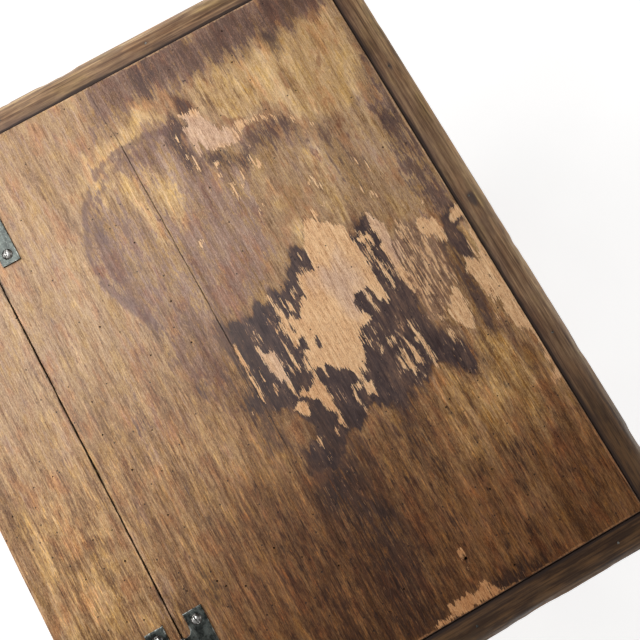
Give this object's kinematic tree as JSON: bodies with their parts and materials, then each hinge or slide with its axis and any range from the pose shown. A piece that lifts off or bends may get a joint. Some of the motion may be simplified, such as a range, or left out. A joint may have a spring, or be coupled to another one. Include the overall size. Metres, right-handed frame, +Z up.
{
  "type": "sugar chest",
  "caption": "Wooden sugar chest: a deep divided well under a hinged lid with thumbnail moulding, a drawer below, turned legs, iron surface hinges and locks.",
  "frame": {"origin": "on the floor, under the middle of the top", "axes": "+Z up, +X to the right of someone who faces the front, -Y out of the front (the lid's opening edge and the drawer); the hinges are along X at the rear"},
  "size_m": [0.66, 0.54, 0.868],
  "materials": {
    "top_wood": "worn old shellac over stained cherry",
    "case_wood": "old shellac over stained cherry",
    "peg_wood": "dark end grain",
    "inner_wood": "bare, oxidised poplar",
    "dark_iron": "dark, rubbed, slightly rusty",
    "bright_iron": "worn bright on top",
    "key_iron": "handled iron",
    "brass_plate": "tarnished brass"
  },
  "bodies": {
    "case": {"back_board_lower": "inner_wood", "back_board_upper": "inner_wood", "drawer_guides": "inner_wood", "drawer_kickers": "inner_wood", "drawer_runner_left": "inner_wood", "drawer_runner_right": "inner_wood", "drawer_stops": "inner_wood", "fixed_leaf_screws": "bright_iron", "front_panel": "case_wood", "hinge_left_fixed_leaf": "dark_iron", "hinge_pins": "bright_iron", "hinge_right_fixed_leaf": "dark_iron", "lid_lock_case": "dark_iron", "lid_lock_cover": "dark_iron", "lid_lock_escutcheon": "brass_plate", "lid_lock_screws": "dark_iron", "lid_lock_spring": "dark_iron", "lower_rail": "case_wood", "mid_rail": "case_wood", "post_front_left": "case_wood", "post_front_right": "case_wood", "post_rear_left": "case_wood", "post_rear_right": "case_wood", "rear_left_moulding": "top_wood", "rear_right_moulding": "top_wood", "rear_top_board": "top_wood", "rear_top_nails": "dark_iron", "side_panel_left": "case_wood", "side_panel_right": "case_wood", "tenon_pegs": "peg_wood", "well_bottom": "inner_wood", "well_cleat": "inner_wood", "well_cross_divider": "inner_wood", "well_divider": "inner_wood"},
    "lid": {"lid_front_board": "top_wood", "lid_rear_board": "top_wood", "lid_front_moulding": "top_wood", "lid_right_moulding": "top_wood", "lid_left_moulding": "top_wood", "lid_moulding_nails": "dark_iron", "hinge_right_lid_leaf": "dark_iron", "hinge_left_lid_leaf": "dark_iron", "lid_leaf_screws": "bright_iron", "lid_strike_plate": "dark_iron", "lid_strike_screws": "dark_iron"},
    "drawer": {"drawer_front": "case_wood", "drawer_side_left": "inner_wood", "drawer_side_right": "inner_wood", "drawer_back": "inner_wood", "drawer_bottom": "inner_wood", "drawer_cock_bead": "case_wood", "drawer_knob_left": "case_wood", "drawer_knob_right": "case_wood", "drawer_lock_case": "dark_iron", "drawer_lock_cover": "dark_iron", "drawer_lock_screws": "dark_iron", "drawer_escutcheon": "brass_plate"},
    "lid_bolt": {"lid_lock_bolt": "dark_iron"},
    "key": {"lid_lock_key": "key_iron"},
    "drawer_bolt": {"drawer_lock_bolt": "dark_iron"}
  },
  "joints": [
    {"name": "lid_hinge", "type": "hinge", "parent": "case", "child": "lid", "pos_m": [0, 0.17, 0.864], "axis": [-1, 0, 0], "range_deg": [0, 165]},
    {"name": "drawer_slide", "type": "slide", "parent": "case", "child": "drawer", "axis": [0, -1, 0], "range_m": [0, 0.34]},
    {"name": "key_turn", "type": "hinge", "parent": "case", "child": "key", "pos_m": [0, -0.235, 0.8], "axis": [0, 1, 0], "range_deg": [0, 60]},
    {"name": "lid_bolt_slide", "type": "slide", "parent": "case", "child": "lid_bolt", "axis": [1, 0, 0], "range_m": [0, 0.008]},
    {"name": "drawer_bolt_slide", "type": "slide", "parent": "drawer", "child": "drawer_bolt", "axis": [0, 0, 1], "range_m": [0, 0.008]}
  ],
  "couplings": [
    {"joint": "key_turn", "follows": "lid_bolt_slide", "rad_per_m": 130.9}
  ]
}
